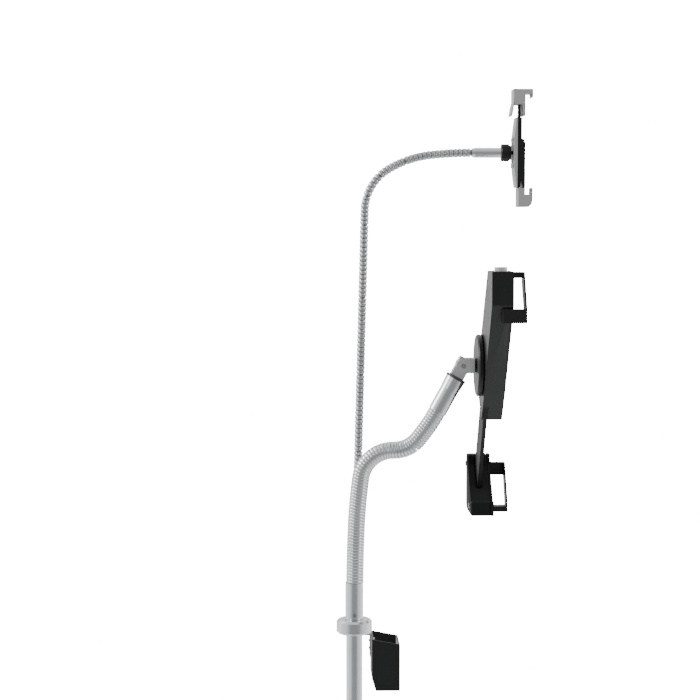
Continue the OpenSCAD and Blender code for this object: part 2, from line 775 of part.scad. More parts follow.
module bottom_cover() {
    color("#26272a") difference() {
        bracket_shape(bracket_front - bracket_plate, bracket_front);
        at_tablet() for (p = bracket_screw_at)
            rod_x(holder_screw_d + 2 * fit, bracket_front - bracket_plate - over, bracket_front - 1, p[0],
                p[1]);
    }
}

module bottom_claw() {
    color("#141414") at_tablet() mirror([0, 0, 1]) mirror([0, 1, 0])
        corner_claw(bracket_front, bracket_front);
}

// Slim neck's upper end, ball joint and clamp
slim_end = place(bead_course, bead_start, bead_len);
slim_z = slim_end[2];
nut_x = slim_end[0] + slim_sleeve_l;
nut_back = 4;
nut_l = 6;
ball_x = nut_x + 1.2;
flange_x = nut_x + nut_l + 2.4;
cover_t = 3.2;
body_x = flange_x + cover_t;
jaw_lip_t = 1.2;
body_t = 8.2;
pad_x = body_x + body_t;
spigot_d = slim_sleeve_d - 2;
module at_clamp() {
    translate([0, slim_y, slim_z]) children();
}

module slim_sleeve() {
    skirt = bead_gap / 2 - (bead_len - bead_hinges[bead_links]);
    shoulder = slim_sleeve_l - nut_back - pass;
    color("silver") at_clamp() translate([slim_end[0], 0, 0]) rotate([0, 90, 0]) difference() {
        rotate_extrude() polygon([[0, skirt], [bead_d / 2, skirt], [slim_sleeve_d / 2, skirt + 3],
            [slim_sleeve_d / 2, shoulder], [spigot_d / 2, shoulder],
            [spigot_d / 2, slim_sleeve_l - 2.2], [0, slim_sleeve_l - nut_back]]);
        translate([0, 0, skirt - over]) cylinder(r = ball_r(bead_bore) + pass,
            h = ball_r(bead_bore) + 2 + over);
    }
}

// Knurled lock nut round the ball, turned as one profile with the seat of the ball inside
module ball_nut() {
    seat = ball_d / 2 + pass;
    mid = ball_x - nut_x;
    lip = 46;
    hole = spigot_d / 2 + fit;
    color("#141414") at_clamp() difference() {
        translate([nut_x, 0, 0]) rotate([0, 90, 0]) rotate_extrude() polygon(concat(
            [[hole, -nut_back], [ball_nut_d / 2 - 0.6, -nut_back], [ball_nut_d / 2, -nut_back + 0.6],
            [ball_nut_d / 2, nut_l - 2], [ball_nut_d / 2 - 1.5, nut_l - 2], [ball_nut_d / 2 - 1.5, nut_l],
            [seat * sin(lip) + 1, nut_l]],
            [for (a = [lip:4:90]) [seat * sin(a), mid + seat * cos(a)]],
            [[seat, -1.8], [hole, -1.8]]));
        for (k = [0:11]) rotate([30 * k, 0, 0]) translate([0, 0, ball_nut_d / 2 + 0.4])
            rod_x(2, nut_x - nut_back - over, nut_x + nut_l - 2 + fit);
    }
}

stem_d = 4;
stud_flange_d = 21;
stud_flange_t = 2.2;
// Ball, stem and flange turned as one profile
module ball_stud() {
    r = ball_d / 2;
    reach = flange_x - ball_x;
    neck_angle = asin(stem_d / 2 / r);
    color("#141414") at_clamp() translate([ball_x, 0, 0]) rotate([0, 90, 0]) rotate_extrude() polygon(concat(
        [for (a = [180:-6:neck_angle]) [r * sin(a), r * cos(a)]],
        [[stem_d / 2, r * cos(neck_angle) + 0.2], [stem_d / 2, reach - 0.6],
            [stud_flange_d / 2 - 1.2, reach - 0.6],
        [stud_flange_d / 2, reach + 0.6], [stud_flange_d / 2, reach + stud_flange_t],
            [0, reach + stud_flange_t]]));
}

// Grey rear cover: a bowed shell with a round seat for the flange
module clamp_cover() {
    bow_r = 220;
    color("#b9bbbd") at_clamp() difference() {
        intersection() {
            translate([body_x - cover_t - 0.6 + bow_r, clamp_w / 2 + 2, 0]) rotate([90, 0, 0])
                cylinder(r = bow_r, h = clamp_w + 4, $fn = 720);
            translate([body_x - cover_t - 1, -clamp_w / 2 - 2, -clamp_h / 2])
                cube([cover_t + 1, clamp_w + 4, clamp_h]);
        }
        rod_x(stud_flange_d + 2 * pass, flange_x - 3, flange_x + stud_flange_t + pass);
        clamp_screw_places() rod_x(clamp_screw_d + 2 * fit, body_x - cover_t - 2, body_x + over);
        clamp_screw_places() rod_x(clamp_screw_head_d + 2 * fit, body_x - cover_t - 2, body_x - cover_t + 1);
    }
}

clamp_screw_d = 2.5;
clamp_screw_head_d = 4.5;
clamp_screw_in = 4;
// Screws above and below the flange, a clearance outside its rim
module clamp_screw_places() {
    y_at = slider_w / 2 + clamp_screw_d / 2 + 1.45;
    z_at = stud_flange_d / 2 + clamp_screw_head_d / 2 + 0.5;
    for (z = [-1, 1], y = [-1, 1]) translate([0, y * y_at, z * z_at]) children();
}

module clamp_screws() {
    color("dimgray") at_clamp() clamp_screw_places() {
        rod_x(clamp_screw_d, body_x - cover_t + 1, body_x + clamp_screw_in);
        rod_x(clamp_screw_head_d, body_x - cover_t - 1.2, body_x - cover_t + 1);
    }
}

slider_x = body_x + 1.6;
slider_t = 2.4;
slider_low = -clamp_h / 2 + 18;
slider_slot_low = -clamp_h / 2 + 5;
body_step = 22;
body_thin = slider_x + slider_t + 1 - body_x;
// Black body: full thickness below, thin above where the upper jaw's plate slides past it
module clamp_body() {
    waist = 3;
    half = clamp_h / 2;
    color("#1b1c1e") at_clamp() difference() {
        union() {
            translate([0, clamp_w / 2, 0]) rotate([90, 0, 0]) linear_extrude(clamp_w) polygon([
                [body_x, -half], [body_x + 3, -half], [body_x + 3.6, -half + 9], [pad_x - 2, -half],
                [pad_x, -half], [pad_x, half - body_step - 4], [pad_x - 2, half - body_step],
                [body_x + body_thin, half - body_step], [body_x, half - body_step]]);
            translate([body_x, -clamp_w / 2 + waist, -half + 10])
                cube([body_thin, clamp_w - 2 * waist, clamp_h - 10]);
        }
        translate([slider_x - fit, -slider_w / 2 - fit, slider_slot_low])
            cube([slider_t + 2 * fit, slider_w + 2 * fit, clamp_h]);
        clamp_screw_places() rod_x(clamp_screw_d + 2 * fit, body_x - over, body_x + clamp_screw_in);
    }
}

module lower_jaw() {
    top = -clamp_h / 2;
    low = top - lower_jaw_h;
    lip = pad_x + grip_slot + jaw_lip_t;
    color("#b9bbbd") at_clamp() translate([0, clamp_w / 2, 0]) rotate([90, 0, 0]) linear_extrude(clamp_w)
        polygon([
        [body_x + 1, low], [lip - 4, low], [lip - 1, low + 3], [lip, low + 7], [lip, top],
        [pad_x + grip_slot, top], [pad_x + grip_slot, top - 7], [pad_x, top - 7], [pad_x, top],
            [body_x + 1, top]]);
}

jaw_gap = 13;
jaw_low = clamp_h / 2 + jaw_gap;
jaw_top = jaw_low + upper_jaw_h - 12;
// Black bar that slides in the body and carries the upper jaw
module jaw_slider() {
    color("#1b1c1e") at_clamp() translate([slider_x, -slider_w / 2, slider_low])
        cube([slider_t, slider_w, jaw_low - slider_low]);
}

module upper_jaw() {
    plate_x = body_x + body_thin + pass;
    plate_low = clamp_h / 2 + 1.5;
    color("#b9bbbd") at_clamp() translate([0, clamp_w / 2, 0]) rotate([90, 0, 0]) linear_extrude(clamp_w)
        polygon([
        [body_x - 4.4, jaw_top], [body_x - 4.4, jaw_low + 2], [body_x - 6, jaw_low - 4],
            [body_x - 7.2, jaw_low - 12],
        [body_x - 5.4, jaw_low - 12], [body_x - 3.4, jaw_low - 1], [body_x - 3.4, jaw_low],
            [plate_x, jaw_low],
        [plate_x, plate_low], [pad_x, plate_low], [pad_x, jaw_top - 5],
        [pad_x + grip_slot, jaw_top - 5], [pad_x + grip_slot, jaw_top - 9],
        [pad_x + grip_slot + jaw_lip_t, jaw_top - 9], [pad_x + grip_slot + jaw_lip_t, jaw_top]]);
}

base_pad();
base_plate();
pole_socket();
base_screws();
lower_pole();
height_collet();
height_lock();
upper_pole();
pole_bush();
neck_socket();
neck_set_screw();
accessory_collar();
collar_screw();
slim_ferrule();
pocket_bracket();
pocket();
pocket_screws();
for (i = [0:rib_links - 1]) rib_link(i);
head_sleeve();
tilt_fork();
tilt_bolt();
tilt_tongue();
swivel_hub();
swivel_disc();
housing_back();
housing_front();
holder_pad();
holder_screws();
corner_lock();
top_claw();
slide_bar();
bottom_bracket();
bottom_cover();
bracket_screws();
bottom_claw();
for (i = [0:bead_links - 1]) bead_link(i);
slim_sleeve();
ball_nut();
ball_stud();
clamp_body();
clamp_cover();
clamp_screws();
jaw_slider();
upper_jaw();
lower_jaw();
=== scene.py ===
# %% [markdown]
# # Adjustable tablet floor stand
# The CAD model is the frame. This lesson adds the camera, smooth skins for the two flexible necks,
# softened edges, and procedural materials for chrome, moulded plastic and painted steel.

# %% Load the frame
import json
import math

import bpy
import bmesh
from mathutils import Vector, Matrix
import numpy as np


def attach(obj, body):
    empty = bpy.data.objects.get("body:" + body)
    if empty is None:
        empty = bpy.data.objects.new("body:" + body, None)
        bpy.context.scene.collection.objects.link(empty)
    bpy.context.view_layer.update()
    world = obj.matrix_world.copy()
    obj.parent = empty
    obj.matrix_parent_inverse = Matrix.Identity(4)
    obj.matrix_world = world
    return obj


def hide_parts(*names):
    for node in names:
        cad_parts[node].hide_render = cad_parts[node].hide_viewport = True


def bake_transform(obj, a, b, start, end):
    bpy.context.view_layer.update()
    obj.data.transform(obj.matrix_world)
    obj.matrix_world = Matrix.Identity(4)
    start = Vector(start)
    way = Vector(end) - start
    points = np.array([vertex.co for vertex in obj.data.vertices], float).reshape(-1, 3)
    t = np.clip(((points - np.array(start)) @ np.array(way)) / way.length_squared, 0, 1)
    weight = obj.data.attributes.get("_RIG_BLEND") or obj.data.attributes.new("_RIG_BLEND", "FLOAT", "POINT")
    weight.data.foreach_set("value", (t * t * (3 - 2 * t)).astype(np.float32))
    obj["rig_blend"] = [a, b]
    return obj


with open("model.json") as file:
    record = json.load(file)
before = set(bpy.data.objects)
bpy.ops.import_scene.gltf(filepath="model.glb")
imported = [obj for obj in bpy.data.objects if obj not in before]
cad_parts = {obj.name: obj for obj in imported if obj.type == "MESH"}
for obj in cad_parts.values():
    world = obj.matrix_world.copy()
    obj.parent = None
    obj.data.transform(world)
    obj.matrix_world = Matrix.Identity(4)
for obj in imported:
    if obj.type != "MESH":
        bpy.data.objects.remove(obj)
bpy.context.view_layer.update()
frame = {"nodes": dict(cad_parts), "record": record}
nodes = frame["nodes"]

# %% [markdown]
# ## Camera
# The lens and place come from matching points of the stand to the photograph: a long lens, slightly
# above the holder and looking slightly down.

# %% Camera
LENS, SENSOR = 92.08, 36
YAW = math.radians(1.7266)
PITCH = math.radians(4.1211)
EYE = Vector((-0.05967, -1.83302, 1.36914))
FAR = 100


def add_camera():
    data = bpy.data.cameras.new("camera")
    data.sensor_fit = "HORIZONTAL"
    data.sensor_width = SENSOR
    data.lens = LENS
    data.clip_end = FAR
    obj = bpy.data.objects.new("camera", data)
    level = math.cos(PITCH)
    forward = Vector((math.sin(YAW) * level, math.cos(YAW) * level, -math.sin(PITCH)))
    obj.rotation_euler = forward.to_track_quat("-Z", "Y").to_euler()
    obj.location = EYE
    bpy.context.collection.objects.link(obj)
    bpy.context.scene.camera = obj
    return obj


add_camera()
print("camera set, lens", LENS)

# %% [markdown]
# ## Materials
# One helper makes a principled material; noise in object coordinates gives each surface its own grain.
# Two more finishes build on it: moulded dots with painted highlights and painted shade for the sliding bar,
# and wound wire with painted shade in its grooves for the necks.

# %% Material helpers
# Detail of the fine grain, scale and detail of the broad one, the broad one's share in the colour
FINE_DETAIL, BROAD_SCALE, BROAD_DETAIL, BROAD_SHARE = 4, 22, 3, 0.35
# Heights in metres of the grain and of the bar's moulded dots, and how strongly the dots show
GRAIN_HEIGHT, DOT_HEIGHT, DOT_STRENGTH = 0.0002, 0.0003, 0.7
# Distance of a dot's edge, the painted highlight at its middle, at distance 0, and the painted shade at its
# edge
DOT_EDGE, DOT_TOP_HIGHLIGHT, DOT_EDGE_SHADE = 0.6, 1.5, 0.6
# Groove values between which painted shade darkens the wire's grooves
GROOVE_SHADE_FROM, GROOVE_SHADE_TO = 0.1, 0.6


def tree_of(name):
    mat = bpy.data.materials.new(name)
    mat.use_nodes = True
    tree = mat.node_tree
    tree.nodes.clear()
    out = tree.nodes.new("ShaderNodeOutputMaterial")
    bsdf = tree.nodes.new("ShaderNodeBsdfPrincipled")
    tree.links.new(bsdf.outputs[0], out.inputs[0])
    return mat, tree, bsdf


def set_range(node, from_low, from_high, to_low, to_high):
    """Fills the four limits of a Map Range node."""
    for socket, value in zip(node.inputs[1:5], (from_low, from_high, to_low, to_high)):
        socket.default_value = value


def multiplied(tree, share):
    """A node that multiplies its first colour by its second, by that share."""
    node = tree.nodes.new("ShaderNodeMix")
    node.data_type = "RGBA"
    node.blend_type = "MULTIPLY"
    node.inputs[0].default_value = share
    return node


def shader_of(tree):
    return next(node for node in tree.nodes if node.type == "BSDF_PRINCIPLED")


def grain_group():
    """Fine surface grain: a value that varies about 1 and a bump normal."""
    group = bpy.data.node_groups.new("surface_grain", "ShaderNodeTree")
    face = group.interface
    for name in ("Scale", "Strength", "Spread"):
        face.new_socket(name, in_out="INPUT", socket_type="NodeSocketFloat")
    face.new_socket("Value", in_out="OUTPUT", socket_type="NodeSocketFloat")
    face.new_socket("Normal", in_out="OUTPUT", socket_type="NodeSocketVector")
    n, link = group.nodes, group.links
    gin, gout = n.new("NodeGroupInput"), n.new("NodeGroupOutput")
    coord = n.new("ShaderNodeTexCoord")
    noise = n.new("ShaderNodeTexNoise")
    noise.inputs["Detail"].default_value = FINE_DETAIL
    cloud = n.new("ShaderNodeTexNoise")
    cloud.inputs["Scale"].default_value = BROAD_SCALE
    cloud.inputs["Detail"].default_value = BROAD_DETAIL
    link.new(coord.outputs["Object"], noise.inputs["Vector"])
    link.new(coord.outputs["Object"], cloud.inputs["Vector"])
    link.new(gin.outputs["Scale"], noise.inputs["Scale"])
    bump = n.new("ShaderNodeBump")
    bump.inputs["Distance"].default_value = GRAIN_HEIGHT
    link.new(gin.outputs["Strength"], bump.inputs["Strength"])
    link.new(noise.outputs[0], bump.inputs["Height"])
    spread = n.new("ShaderNodeMath")
    spread.operation = "MULTIPLY_ADD"
    centre = n.new("ShaderNodeMath")
    centre.operation = "SUBTRACT"
    centre.inputs[1].default_value = 0.5
    link.new(cloud.outputs[0], centre.inputs[0])
    link.new(centre.outputs[0], spread.inputs[0])
    link.new(gin.outputs["Spread"], spread.inputs[1])
    spread.inputs[2].default_value = 1
    link.new(spread.outputs[0], gout.inputs["Value"])
    link.new(bump.outputs[0], gout.inputs["Normal"])
    return group


GRAIN = grain_group()


def surface(name, colour, rough, metal=0.0, scale=900, strength=0.15, spread=0.5, spec=0.5):
    """A finish with its grain: fine bumps of a scale and strength, broad changes of a spread."""
    mat, tree, bsdf = tree_of(name)
    grain = tree.nodes.new("ShaderNodeGroup")
    grain.node_tree = GRAIN
    grain.inputs["Scale"].default_value = scale
    grain.inputs["Strength"].default_value = strength
    grain.inputs["Spread"].default_value = spread
    shade = multiplied(tree, BROAD_SHARE)
    shade.inputs[6].default_value = (*colour, 1)
    tree.links.new(grain.outputs["Value"], shade.inputs[7])
    tree.links.new(shade.outputs[2], bsdf.inputs["Base Color"])
    roughness = tree.nodes.new("ShaderNodeMath")
    roughness.operation = "MULTIPLY"
    roughness.inputs[1].default_value = rough
    tree.links.new(grain.outputs["Value"], roughness.inputs[0])
    tree.links.new(roughness.outputs[0], bsdf.inputs["Roughness"])
    tree.links.new(grain.outputs["Normal"], bsdf.inputs["Normal"])
    bsdf.inputs["Metallic"].default_value = metal
    bsdf.inputs["Specular IOR Level"].default_value = spec
    return mat


def knurled(name, colour, rough, cell, spec):
    """Fine moulded dots with a painted highlight on their tops and painted shade at their edges, about one
    in each cell of that many millimetres.
    """
    mat, tree, bsdf = tree_of(name)
    new, link = tree.nodes.new, tree.links.new
    coord, dots, bump = new("ShaderNodeTexCoord"), new("ShaderNodeTexVoronoi"), new("ShaderNodeBump")
    dots.inputs["Scale"].default_value = 1000 / cell
    bump.inputs["Strength"].default_value = DOT_STRENGTH
    bump.inputs["Distance"].default_value = DOT_HEIGHT
    bump.invert = True
    # Painted light: each dot is lighter at its top and darker towards its edge
    dot_light = new("ShaderNodeMapRange")
    set_range(dot_light, 0, DOT_EDGE, DOT_TOP_HIGHLIGHT, DOT_EDGE_SHADE)
    shade = multiplied(tree, 1)
    shade.inputs[6].default_value = (*colour, 1)
    link(coord.outputs["Object"], dots.inputs["Vector"])
    link(dots.outputs["Distance"], bump.inputs["Height"])
    link(dots.outputs["Distance"], dot_light.inputs[0])
    link(dot_light.outputs[0], shade.inputs[7])
    link(shade.outputs[2], bsdf.inputs["Base Color"])
    link(bump.outputs[0], bsdf.inputs["Normal"])
    bsdf.inputs["Roughness"].default_value = rough
    bsdf.inputs["Specular IOR Level"].default_value = spec
    return mat


def wound(name, colour, rough, dark):
    """Polished wire wound into a tube: the skin's groove value paints shade into the gaps between the turns,
    down to a dark share of its colour at the bottom of a groove.
    """
    mat = surface(name, colour, rough, metal=1, scale=700, strength=0.03)
    tree = mat.node_tree
    new, link = tree.nodes.new, tree.links.new
    bsdf = shader_of(tree)
    plain = bsdf.inputs["Base Color"].links[0].from_socket
    groove, fade, shade = new("ShaderNodeAttribute"), new("ShaderNodeMapRange"), multiplied(tree, 1)
    groove.attribute_name = "groove"
    set_range(fade, GROOVE_SHADE_FROM, GROOVE_SHADE_TO, 1, dark)
    link(groove.outputs["Fac"], fade.inputs[0])
    link(plain, shade.inputs[6])
    link(fade.outputs[0], shade.inputs[7])
    link(shade.outputs[2], bsdf.inputs["Base Color"])
    return mat


MATS = {
    # The last number of each wire is the painted shade at the bottom of its grooves: the share of its colour
    # left there
    "ribbed_wire": wound("ribbed_wire", (0.64, 0.65, 0.665), 0.24, 0.45),
    "slim_wire": wound("slim_wire", (0.52, 0.53, 0.54), 0.24, 0.28),
    "chrome": surface("chrome", (0.62, 0.63, 0.645), 0.24, metal=1, scale=700, strength=0.03),
    "satin": surface("satin_silver", (0.64, 0.65, 0.66), 0.36, metal=1, scale=1400, strength=0.06),
    "screw_steel": surface("screw_steel", (0.36, 0.36, 0.37), 0.35, metal=1, scale=1200, strength=0.08),
    "powder_coat": surface(
        "powder_coat", (0.02, 0.02, 0.022), 0.5, scale=1600, strength=0.5, spread=0.4),
    "foam_sheet": surface("foam_sheet", (0.04, 0.04, 0.04), 0.9, scale=700, strength=0.6, spread=0.4),
    "soft_pad": surface("soft_pad", (0.03, 0.03, 0.03), 0.75, scale=900, strength=0.35),
    "nylon": surface("nylon", (0.78, 0.77, 0.73), 0.45, scale=500, strength=0.1),
    "grey_plastic": surface(
        "grey_plastic", (0.31, 0.313, 0.317), 0.42, scale=1500, strength=0.14, spread=0.4),
    "black_plastic": surface(
        "black_plastic", (0.010, 0.010, 0.0105), 0.36, scale=1500, strength=0.16, spec=0.24),
    "matt_black": surface(
        "matt_black", (0.011, 0.011, 0.0115), 0.55, scale=1500, strength=0.16, spec=0.06),
    "pale_plastic": surface("pale_plastic", (0.55, 0.55, 0.55), 0.35, scale=1500, strength=0.08),
    # A near-black material that paints the shadow inside the upper sleeve's flared end
    "painted_rim_shadow": surface("painted_rim_shadow", (0.03, 0.03, 0.03), 0.4, scale=1500, strength=0.1),
    "bar_plastic": knurled("bar_plastic", (0.014, 0.014, 0.0145), 0.5, 1.1, 0.15),
}
print("materials", len(MATS))

# %% [markdown]
# ## The flexible necks
# Each neck is one wound tube. Its course repeats the CAD's: distance along the neck and heading from
# upright. A ringed skin is swept along it. The ribbed neck's lengths run from the middle of one link
# to the middle of the next, so each crosses one hinge and bends across it. The slim neck turns with the
# collar as well as bending, so its lengths are split at the hinges and turn on small balls.

# %% Neck courses
# Lengths in millimetres, headings in degrees. The hinges are distances along the course, and stiff is
# how many of them are split.
RIB = dict(
    course=[(0, 0.5), (60, 2.5), (109, 8), (156, 88), (160, 88), (186, 40), (222, 29)],
    hinges=[2, 50, 88, 110, 128, 146, 168, 190, 220], start=(0.6, 0.0, 995.55),
    pitch=3.1, radius=9.25, depth=0.6, sides=40, stiff=0, finish="ribbed_wire",
    links="rib_link_", bodies="rib_", first="mast", last="head")
BEAD = dict(
    course=[(0, 1.5), (415, 1.5), (467, 60), (513, 84), (556, 90)],
    hinges=[2, 85, 165, 245, 325, 400, 430, 455, 485, 554], start=(0.5, 20.0, 965.4),
    pitch=4.6, radius=4.6, depth=1.0, sides=24, stiff=10, finish="slim_wire",
    links="bead_link_", bodies="bead_", first="accessory", last="slim_tip")
# Step of the traced course, and how far it runs on past the end of the neck
TRACE_STEP, RUN_ON = 0.5, 8


def heading(course, s):
    """Degrees from upright at a distance along the course, even between its points."""
    s = min(max(s, course[0][0]), course[-1][0])
    for (a, b), (c, d) in zip(course, course[1:]):
        if s <= c:
            return b + (d - b) * (s - a) / (c - a)
    return course[-1][1]


def trace(neck):
    """Places along the neck, one at each step."""
    x, y, z = neck["start"]
    points = [(x, y, z)]
    s = 0
    while s < neck["course"][-1][0] + RUN_ON:
        h = math.radians(heading(neck["course"], s + TRACE_STEP / 2))
        x, z, s = x + TRACE_STEP * math.sin(h), z + TRACE_STEP * math.cos(h), s + TRACE_STEP
        points.append((x, y, z))
    return points


def at(points, s, neck):
    """Place at a distance along the neck, straight on before its start."""
    if s <= 0:
        h = math.radians(neck["course"][0][1])
        x, y, z = points[0]
        return Vector((x + s * math.sin(h), y, z + s * math.cos(h)))
    i = min(int(s / TRACE_STEP), len(points) - 2)
    t = s / TRACE_STEP - i
    return Vector(points[i]).lerp(Vector(points[i + 1]), t)


print("ribbed course", RIB["course"][-1][0], "mm, slim course", BEAD["course"][-1][0], "mm")

# %% [markdown]
# A wound tube is a row of equal rings along a path, which is what Geometry Nodes are for. The tree
# below turns a line into a curve, makes its radius swell and narrow once in each pitch, and sweeps
# a circle along it. Ring size, pitch and groove depth are inputs, so one tree makes both necks.

# %% A tree that sweeps rings along a line
# A power below 1 keeps the rings full and the grooves narrow
GROOVE_POWER = 0.55
# Points of the swept curve in each ring, and the spacing in millimetres of the line that it follows
RING_POINTS, LINE_STEP, LEAST_STEPS = 8, 2, 4


def ring_tree():
    tree = bpy.data.node_groups.new("ringed_tube", "GeometryNodeTree")
    face = tree.interface
    face.new_socket("Geometry", in_out="INPUT", socket_type="NodeSocketGeometry")
    for name in ("Radius", "Depth", "Pitch", "Start", "Step"):
        face.new_socket(name, in_out="INPUT", socket_type="NodeSocketFloat")
    face.new_socket("Sides", in_out="INPUT", socket_type="NodeSocketInt")
    face.new_socket("Material", in_out="INPUT", socket_type="NodeSocketMaterial")
    face.new_socket("Geometry", in_out="OUTPUT", socket_type="NodeSocketGeometry")
    new, link = tree.nodes.new, tree.links.new
    given, result = new("NodeGroupInput"), new("NodeGroupOutput")

    def math_node(operation, first, second=None):
        node = new("ShaderNodeMath")
        node.operation = operation
        for socket, value in zip(node.inputs, (first, second)):
            if isinstance(value, (int, float)):
                socket.default_value = value
            elif value is not None:
                link(value, socket)
        return node.outputs[0]

    line = new("GeometryNodeMeshToCurve")
    link(given.outputs["Geometry"], line.inputs["Mesh"])
    even = new("GeometryNodeResampleCurve")
    even.mode = "LENGTH"
    link(line.outputs["Curve"], even.inputs["Curve"])
    link(given.outputs["Step"], even.inputs["Length"])
    spline = new("GeometryNodeSplineParameter")
    along = math_node("ADD", spline.outputs["Length"], given.outputs["Start"])
    ring = math_node("DIVIDE", along, given.outputs["Pitch"])
    swell = math_node("ABSOLUTE", math_node("SINE", math_node("MULTIPLY", ring, math.pi)))
    groove = math_node("SUBTRACT", 1.0, math_node("POWER", swell, GROOVE_POWER))
    inset = math_node("MULTIPLY", groove, given.outputs["Depth"])
    radius = math_node("SUBTRACT", given.outputs["Radius"], inset)
    circle = new("GeometryNodeCurvePrimitiveCircle")
    circle.inputs["Radius"].default_value = 1
    link(given.outputs["Sides"], circle.inputs["Resolution"])
    tube = new("GeometryNodeCurveToMesh")
    # The groove value is kept on the mesh, and the wire material paints shade into the grooves from it
    keep = new("GeometryNodeStoreNamedAttribute")
    keep.data_type = "FLOAT"
    keep.domain = "POINT"
    keep.inputs["Name"].default_value = "groove"
    link(even.outputs["Curve"], keep.inputs["Geometry"])
    link(groove, keep.inputs["Value"])
    link(keep.outputs["Geometry"], tube.inputs["Curve"])
    link(radius, tube.inputs["Scale"])
    link(circle.outputs["Curve"], tube.inputs["Profile Curve"])
    tube.inputs["Fill Caps"].default_value = True
    smooth = new("GeometryNodeSetShadeSmooth")
    link(tube.outputs["Mesh"], smooth.inputs["Geometry"])
    real = new("GeometryNodeRealizeInstances")
    link(smooth.outputs["Geometry"], real.inputs["Geometry"])
    finish = new("GeometryNodeSetMaterial")
    link(real.outputs["Geometry"], finish.inputs["Geometry"])
    link(given.outputs["Material"], finish.inputs["Material"])
    link(finish.outputs["Geometry"], result.inputs["Geometry"])
    return tree


RINGS = ring_tree()


def bake_tree(host, tree, values, name):
    """Runs a tree on a host object and keeps the result as a plain mesh object."""
    modifier = host.modifiers.new("make", "NODES")
    modifier.node_group = tree
    for item in tree.interface.items_tree:
        if item.in_out == "INPUT" and item.name in values:
            modifier[item.identifier] = values[item.name]
    evaluated = host.evaluated_get(bpy.context.evaluated_depsgraph_get())
    mesh = bpy.data.meshes.new_from_object(evaluated)
    mesh.name = name
    bpy.data.objects.remove(host)
    obj = bpy.data.objects.new(name, mesh)
    bpy.context.collection.objects.link(obj)
    return obj


def turns(neck, link):
    """Pitch and first groove of a link. A neck that is split at its hinges has a groove at each."""
    h, pitch = neck["hinges"], neck["pitch"]
    if not neck["stiff"]:
        return pitch, 0
    if 0 < link < len(h):
        span = h[link] - h[link - 1]
        return span / round(span / pitch), h[link - 1]
    return pitch, h[max(link - 1, 0)]


def skin(neck, points, name, s0, s1, link):
    """One length of the tube, from a distance s0 to s1 along the neck."""
    pitch, first = turns(neck, link)
    count = max(LEAST_STEPS, round((s1 - s0) / LINE_STEP))
    places = [at(points, s0 + (s1 - s0) * i / count, neck) / 1000 for i in range(count + 1)]
    mesh = bpy.data.meshes.new(name + "_line")
    mesh.from_pydata([tuple(v) for v in places], [(i, i + 1) for i in range(count)], [])
    host = bpy.data.objects.new(name + "_line", mesh)
    bpy.context.collection.objects.link(host)
    values = {"Radius": neck["radius"] / 1000, "Depth": neck["depth"] / 1000, "Pitch": pitch / 1000,
              "Start": (s0 - first) / 1000, "Step": pitch / (1000 * RING_POINTS),
              "Sides": neck["sides"], "Material": MATS[neck["finish"]]}
    return bake_tree(host, RINGS, values, name)


# Room at a split hinge, below it and above it, and how far its ball lies inside the tube
SPLIT_BELOW, SPLIT_ABOVE, BALL_INSET = 1.2, 0.6, 1.05
# The ball's sides, and its groove value, which sets the painted shade on the ball
BALL_SIDES, BALL_SHADE_GROOVE = 24, 0.5
# How far a neck's skin goes on past its first and last hinge, into the sleeves
TUCK_FIRST, TUCK_LAST = 2, 3
# Share of the way to the next length over which a hinge bends the skin, and the least such way
BEND_SHARE, LEAST_BEND = 0.9, 1.0


def add_ball(piece, place, radius):
    """A ball in the tube at a hinge, which closes the outer side of the bend there. Its groove value gives
    it painted shade.
    """
    bm = bmesh.new()
    bm.from_mesh(piece.data)
    made = bmesh.ops.create_uvsphere(bm, u_segments=BALL_SIDES, v_segments=BALL_SIDES // 2, radius=radius,
                                     matrix=Matrix.Translation(place))
    # Painted shade: the ball takes a groove value, so the wire material darkens it
    groove = bm.verts.layers.float["groove"]
    for vert in made["verts"]:
        vert[groove] = BALL_SHADE_GROOVE
    for face in {f for v in made["verts"] for f in v.link_faces}:
        face.smooth = True
    bm.to_mesh(piece.data)
    bm.free()


def build_neck(neck, label):
    """Lengths that bend over their hinge. At the stiff hinges of a neck the tube turns on balls instead."""
    h = neck["hinges"]
    n = len(h)
    between = [(h[i] + h[i + 1]) / 2 for i in range(n - 1)]
    mids = [h[0] - TUCK_FIRST] + between + [h[-1] + TUCK_LAST]
    points = trace(neck)
    faces = 0
    for i in range(n):
        name = f"{label}_skin_{i + 1:02d}"
        a = neck["first"] if i == 0 else f"{neck['bodies']}{i}"
        b = neck["last"] if i == n - 1 else f"{neck['bodies']}{i + 1}"
        if i < neck["stiff"]:
            lower = skin(neck, points, name + "_low", mids[i], h[i] - SPLIT_BELOW, i)
            piece = skin(neck, points, name, h[i] + SPLIT_ABOVE, mids[i + 1], i + 1)
            add_ball(piece, at(points, h[i], neck) / 1000, (neck["radius"] - BALL_INSET) / 1000)
            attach(lower, a)
            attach(piece, b)
            faces += len(lower.data.polygons)
        else:
            piece = skin(neck, points, name, mids[i], mids[i + 1], i)
            reach_low = max(LEAST_BEND, (h[i] - mids[i]) * BEND_SHARE)
            reach_high = max(LEAST_BEND, (mids[i + 1] - h[i]) * BEND_SHARE)
            start = at(points, h[i] - reach_low, neck) / 1000
            end = at(points, h[i] + reach_high, neck) / 1000
            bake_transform(piece, a, b, start=tuple(start), end=tuple(end))
        faces += len(piece.data.polygons)
        if i < n - 1:
            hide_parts(f"{neck['links']}{i + 1}")
    return faces


print("ribbed faces", build_neck(RIB, "ribbed"), "slim faces", build_neck(BEAD, "slim"))

# %% [markdown]
# ## CAD nodes
# The CAD shapes stay. A small bevel softens their edges, and each takes its material.

# %% Bevels and materials on the CAD nodes
BY_SLOT = {row["node"]: row["material_slot"] for row in frame["record"]["subparts"]}
